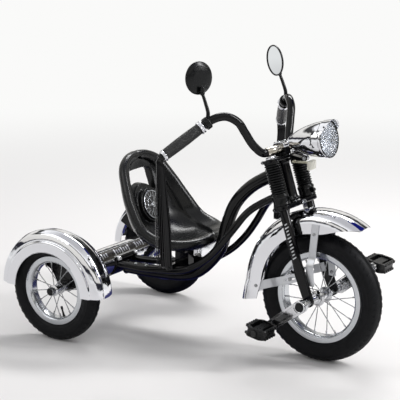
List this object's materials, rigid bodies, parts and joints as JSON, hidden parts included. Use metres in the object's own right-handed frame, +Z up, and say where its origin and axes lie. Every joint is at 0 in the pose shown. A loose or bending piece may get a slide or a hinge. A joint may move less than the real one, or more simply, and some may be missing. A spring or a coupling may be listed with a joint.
{
  "type": "children's tricycle",
  "caption": "Chopper-style children's tricycle with a swept tube frame, moulded bucket seat, raked fork, high bars, headlight, mirrors, pedals on the front wheel and spoked wheels.",
  "frame": {"origin": "centre of the footprint on the ground", "axes": "+X forward along the length, +Y towards the rider's left, +Z up"},
  "size_m": [0.9248, 0.5648, 0.7197],
  "materials": {
    "black_paint": "gloss black enamel",
    "chrome": "bright chrome plate",
    "steel": "zinc plated steel",
    "tyre": "black rubber",
    "rubber": "moulded black rubber",
    "black_plastic": "moulded black plastic",
    "clear_plastic": "clear moulded plastic",
    "ribbon": "thin black vinyl strips",
    "mirror": "silvered plastic mirror",
    "badge": "plain pressed disc"
  },
  "bodies": {
    "frame": {"head_tube": "black_paint", "main_tube": "black_paint", "lower_tube_r": "black_paint", "lower_tube_l": "black_paint", "axle_beam": "chrome", "axle_saddle": "black_paint", "rear_axle": "steel", "fender_plate_r": "black_paint", "fender_plate_l": "black_paint", "rear_fender_r": "chrome", "rear_fender_l": "chrome", "seat": "black_plastic", "seat_badge": "badge", "seat_bracket": "black_paint"},
    "fork": {"steerer": "steel", "crown_bottom": "black_paint", "crown_top": "black_paint", "leg_r": "black_paint", "leg_l": "black_paint", "gaiter_r": "rubber", "gaiter_l": "rubber", "stem": "black_paint", "stem_cap": "chrome", "handlebar": "black_paint", "ring_r_in": "chrome", "ring_l_in": "chrome", "grip_r": "rubber", "grip_l": "rubber", "ring_r_out": "chrome", "ring_l_out": "chrome", "tassel_r": "ribbon", "tassel_l": "ribbon", "mirror_arm_r": "black_paint", "mirror_arm_l": "black_paint", "lamp_bracket": "black_paint", "reflector": "clear_plastic", "front_fender": "chrome", "stay_rear_r": "chrome", "stay_rear_l": "chrome", "stay_front_r": "chrome", "stay_front_l": "chrome"},
    "front_wheel": {"front_tyre": "tyre", "front_rim": "chrome", "front_hub": "steel", "crank_r": "steel", "crank_l": "steel"},
    "rear_wheel_r": {"rear_tyre_r": "tyre", "rear_rim_r": "chrome", "rear_hub_r": "steel"},
    "rear_wheel_l": {"rear_tyre_l": "tyre", "rear_rim_l": "chrome", "rear_hub_l": "steel"},
    "pedal_r": {"pedal_r": "rubber"},
    "pedal_l": {"pedal_l": "rubber"},
    "mirror_r": {"mirror_head_r": "black_plastic", "mirror_glass_r": "mirror"},
    "mirror_l": {"mirror_head_l": "black_plastic", "mirror_glass_l": "mirror"},
    "lamp": {"lamp_housing": "chrome", "lamp_lens": "clear_plastic"}
  },
  "joints": [
    {"name": "steer", "type": "hinge", "parent": "frame", "child": "fork", "pos_m": [0.2919, 0, 0.1575], "axis": [-0.309, 0, 0.9511], "range_deg": [-40, 40], "deforming": ["tassel_r", "tassel_l"]},
    {"name": "front_wheel_spin", "type": "hinge", "parent": "fork", "child": "front_wheel", "pos_m": [0.3049, 0, 0.1575], "axis": [0, 1, 0], "continuous": true},
    {"name": "pedal_r_spin", "type": "hinge", "parent": "front_wheel", "child": "pedal_r", "pos_m": [0.22504, -0.144, 0.09732], "axis": [0, 1, 0], "continuous": true},
    {"name": "pedal_l_spin", "type": "hinge", "parent": "front_wheel", "child": "pedal_l", "pos_m": [0.38477, 0.144, 0.21768], "axis": [0, 1, 0], "continuous": true},
    {"name": "rear_wheel_r_spin", "type": "hinge", "parent": "frame", "child": "rear_wheel_r", "pos_m": [-0.3075, -0.2363, 0.127], "axis": [0, 1, 0], "continuous": true},
    {"name": "rear_wheel_l_spin", "type": "hinge", "parent": "frame", "child": "rear_wheel_l", "pos_m": [-0.3075, 0.2363, 0.127], "axis": [0, 1, 0], "continuous": true},
    {"name": "mirror_r_swivel", "type": "hinge", "parent": "fork", "child": "mirror_r", "pos_m": [0.07473, -0.175, 0.64785], "axis": [0, 0, 1], "range_deg": [-45, 45]},
    {"name": "mirror_l_swivel", "type": "hinge", "parent": "fork", "child": "mirror_l", "pos_m": [0.07473, 0.175, 0.64785], "axis": [0, 0, 1], "range_deg": [-45, 45]},
    {"name": "lamp_tilt", "type": "hinge", "parent": "fork", "child": "lamp", "pos_m": [0.2525, 0, 0.488], "axis": [0, 1, 0], "range_deg": [0, 10]}
  ]
}
